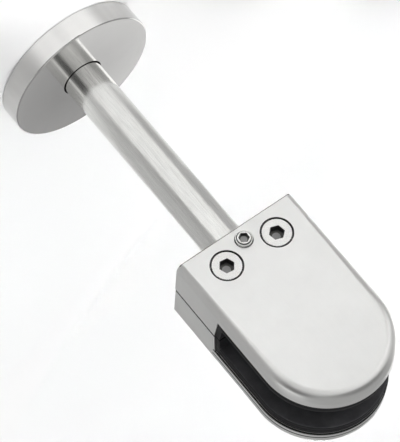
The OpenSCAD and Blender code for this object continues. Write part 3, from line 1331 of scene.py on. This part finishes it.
@dataclass(frozen=True)
class RoomGlow:
    """The light of the room: even above, with bright and dark walls round the horizon."""

    strength: float = 0.44
    dark_side: tuple[float, float, float] = (-0.315, -0.744, 0.589)
    dark_strength: float = 0.22
    dark_rim: tuple[float, float] = (0.72, 0.95)  # cosine where the dark side starts and is full
    wall_top: tuple[float, float] = (0.42, 0.60)  # rise of the ray where the walls fade out
    walls: tuple[tuple[float, float], ...] = (
        (-180.0, 0.44), (-150.0, 0.55), (-110.0, 0.62), (-92.0, 0.75), (-84.0, 1.3),
        (-77.0, 0.6), (-70.0, 0.2), (-60.0, 0.12), (-42.0, 0.15), (-34.0, 0.5),
        (-19.6, 0.75), (0.0, 0.85), (22.0, 1.0), (44.0, 0.9), (60.0, 0.62),
        (75.0, 0.6), (105.0, 0.75), (125.0, 0.5), (140.0, 0.44), (180.0, 0.44),
    )  # degrees from -Y towards -X, and the wall's strength there

    def build(self) -> None:
        """Sets the scene's world."""
        world = bpy.data.worlds.new("studio_room")
        world.use_nodes = True
        tree = NodeTree(world.node_tree)
        back = world.node_tree.nodes["Background"]
        back.inputs["Color"].default_value = (1.0, 1.0, 1.0, 1.0)
        where = tree.add("ShaderNodeTexCoord").outputs["Generated"]
        share = self.wall_share(tree, where)
        strength = tree.between(share, self.ceiling(tree, where), self.wall_ring(tree, where))
        tree.join(strength, back.inputs["Strength"])
        bpy.context.scene.world = world

    def ceiling(self, tree: NodeTree, where: bpy.types.NodeSocket) -> bpy.types.NodeSocket:
        """Adds the even glow above, with its dark side."""
        facing = tree.vector("DOT_PRODUCT", where, self.dark_side).outputs["Value"]
        return tree.span(facing, self.dark_rim, (self.strength, self.dark_strength), smooth=True)

    def wall_share(self, tree: NodeTree, where: bpy.types.NodeSocket) -> bpy.types.NodeSocket:
        """Adds the mask that is 1 at the height of the walls and 0 above them."""
        split = tree.add("ShaderNodeSeparateXYZ")
        tree.join(where, split.inputs[0])
        return tree.span(split.outputs["Z"], self.wall_top, (1.0, 0.0), smooth=True)

    def wall_ring(self, tree: NodeTree, where: bpy.types.NodeSocket) -> bpy.types.NodeSocket:
        """Adds the strength of the walls by their direction; the ramp holds half of it."""
        bearing = tree.bearing(where)
        share = tree.math("MULTIPLY", bearing, 1.0 / (2.0 * math.pi))
        ramp = tree.add("ShaderNodeValToRGB")
        tree.join(tree.math("ADD", share, 0.5), ramp.inputs["Fac"])
        stops = ramp.color_ramp.elements
        while len(stops) < len(self.walls):
            stops.new(1.0)
        for stop, (degrees, strength) in zip(stops, self.walls):
            stop.position = (degrees + 180.0) / 360.0
            stop.color = (strength / 2, strength / 2, strength / 2, 1.0)
        return tree.math("MULTIPLY", ramp.outputs["Color"], 2.0)


@dataclass(frozen=True)
class Studio:
    """The pale floor, the lights and the camera."""

    right: tuple[float, float, float] = (-0.793228, -0.042660, 0.607428)
    down: tuple[float, float, float] = (0.521042, 0.468691, 0.713334)
    ahead: tuple[float, float, float] = (-0.315127, 0.882332, -0.349551)
    eye: tuple[float, float, float] = (0.22178, -0.61768, 0.30965)
    lens: float = 222.30
    floor_half: float = 3.0
    floor_z: float = -0.2 * MM

    def floor(self) -> None:
        """Lays the floor just under the wall plane."""
        mesh = bpy.data.meshes.new("studio_floor")
        h, z = self.floor_half, self.floor_z
        mesh.from_pydata([(-h, -h, z), (h, -h, z), (h, h, z), (-h, h, z)], [], [(0, 1, 2, 3)])
        piece = bpy.data.objects.new("studio_floor", mesh)
        bpy.context.scene.collection.objects.link(piece)
        mesh.materials.append(FloorPaint().material())

    def lights(self) -> None:
        """Hangs the lamps and sets the room's own light.

        The beams on the floor are placed for their reflections in the steel, as the camera
        sees them, so from other sides they show on the floor.
        """
        boxes = (
            Softbox("front_wall", (-0.25, -1.25, 0.35), 2.2, 0.7, 0.9, glints=False),
            Softbox("low_card", (-0.78, -0.78, 0.09), 1.3, 0.18, 0.7),
            Softbox("side_window", (-0.45, 0.36, 0.17), 0.42, 0.3, 1.42),
            Softbox("disc_card", (-0.085, 0.130, 0.070), 0.075, 0.06, 0.38, (-0.016, 0.0, 0.007)),
            FloorWash("front_wedge", (-0.0185, -0.318), (0.45, 0.45), 42.5, 0.73, 4.0),
            FloorWash("front_far", (-0.150, -0.42), (0.15, 0.20), 0.0, 0.55, 8.0),
            FloorWash("view_near", (-0.004, 0.354), (0.112, 0.732), 0.0, 0.52, 3.5),
            FloorWash("view_middle", (-0.095, 0.372), (0.070, 0.696), 0.0, 0.52, 3.5),
            FloorWash("view_far", (-0.3485, 0.406), (0.437, 0.628), 0.0, 0.52, 3.5),
            FloorWash("side_fill", (0.125, 0.060), (0.18, 0.18), 0.0, 0.10, 4.0),
        )
        for box in boxes:
            box.build()
        RoomGlow().build()

    def camera(self) -> None:
        """Sets up the camera."""
        data = bpy.data.cameras.new("view")
        data.lens = self.lens
        data.sensor_fit = "HORIZONTAL"
        data.sensor_width = 36.0
        data.clip_start = 0.02
        data.clip_end = 20.0
        camera = bpy.data.objects.new("view", data)
        right, down, ahead = Vector(self.right), Vector(self.down), Vector(self.ahead)
        turn = Matrix((right, -down, -ahead)).transposed().to_4x4()
        camera.matrix_world = Matrix.Translation(self.eye) @ turn
        bpy.context.scene.collection.objects.link(camera)
        bpy.context.scene.camera = camera

    def build(self) -> None:
        """Builds the whole studio."""
        self.floor()
        self.lights()
        self.camera()
        settings = bpy.context.scene.view_settings
        settings.view_transform = "Standard"
        settings.look = "None"


# ---------------------------------------------------------------- run


def main() -> None:
    """Builds the clamp's looks and the studio in order."""
    logging.basicConfig(level=logging.INFO, format="%(name)s: %(message)s")
    finishes = FinishSet()
    thread, knurl = thread_growth(), knurl_growth()
    WallFlange().build(finishes, thread, knurl)
    StemAndRosette().build(finishes)
    ClampHead().build(finishes, thread, knurl)
    Studio().build()


if __name__ == "__main__":
    main()
